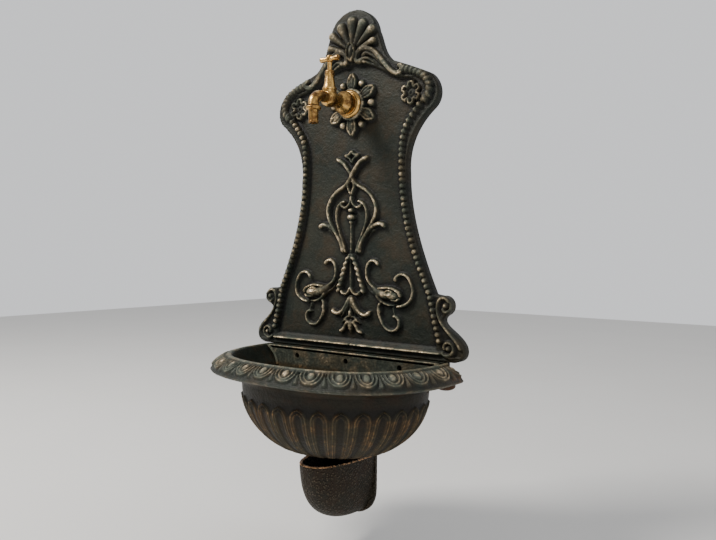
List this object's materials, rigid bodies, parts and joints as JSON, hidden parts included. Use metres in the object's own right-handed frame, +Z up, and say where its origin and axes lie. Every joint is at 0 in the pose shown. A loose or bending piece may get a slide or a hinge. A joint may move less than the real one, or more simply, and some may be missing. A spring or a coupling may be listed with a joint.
{
  "type": "wall fountain",
  "caption": "Cast-iron wall fountain: waisted relief back plate with scrolls and beaded border, brass bib tap, tongue-fluted half-round basin with egg-and-dart rim, small half-round cup below.",
  "frame": {"origin": "on the wall, on the plate's axis, at the flat rib across the back of its waist", "axes": "+Z up the wall, +Y into the wall, +X to the right of a person who faces the fountain"},
  "size_m": [0.395, 0.203, 0.7702],
  "materials": {
    "patinated_iron": "dark bronze-green patina with rubbed gilt edges",
    "tap_brass": "worn polished brass"
  },
  "bodies": {
    "body": {"backplate": "patinated_iron", "basin": "patinated_iron", "lower_cup": "patinated_iron", "tap_escutcheon": "tap_brass", "tap_body": "tap_brass", "tap_nozzle": "tap_brass", "tap_bonnet": "tap_brass"},
    "handle": {"tap_spindle": "tap_brass", "tap_handle": "tap_brass"}
  },
  "joints": [
    {"name": "handle_turn", "type": "hinge", "parent": "body", "child": "handle", "pos_m": [0, -0.067, 0.15], "axis": [0, 0, 1], "range_deg": [0, 810]}
  ]
}
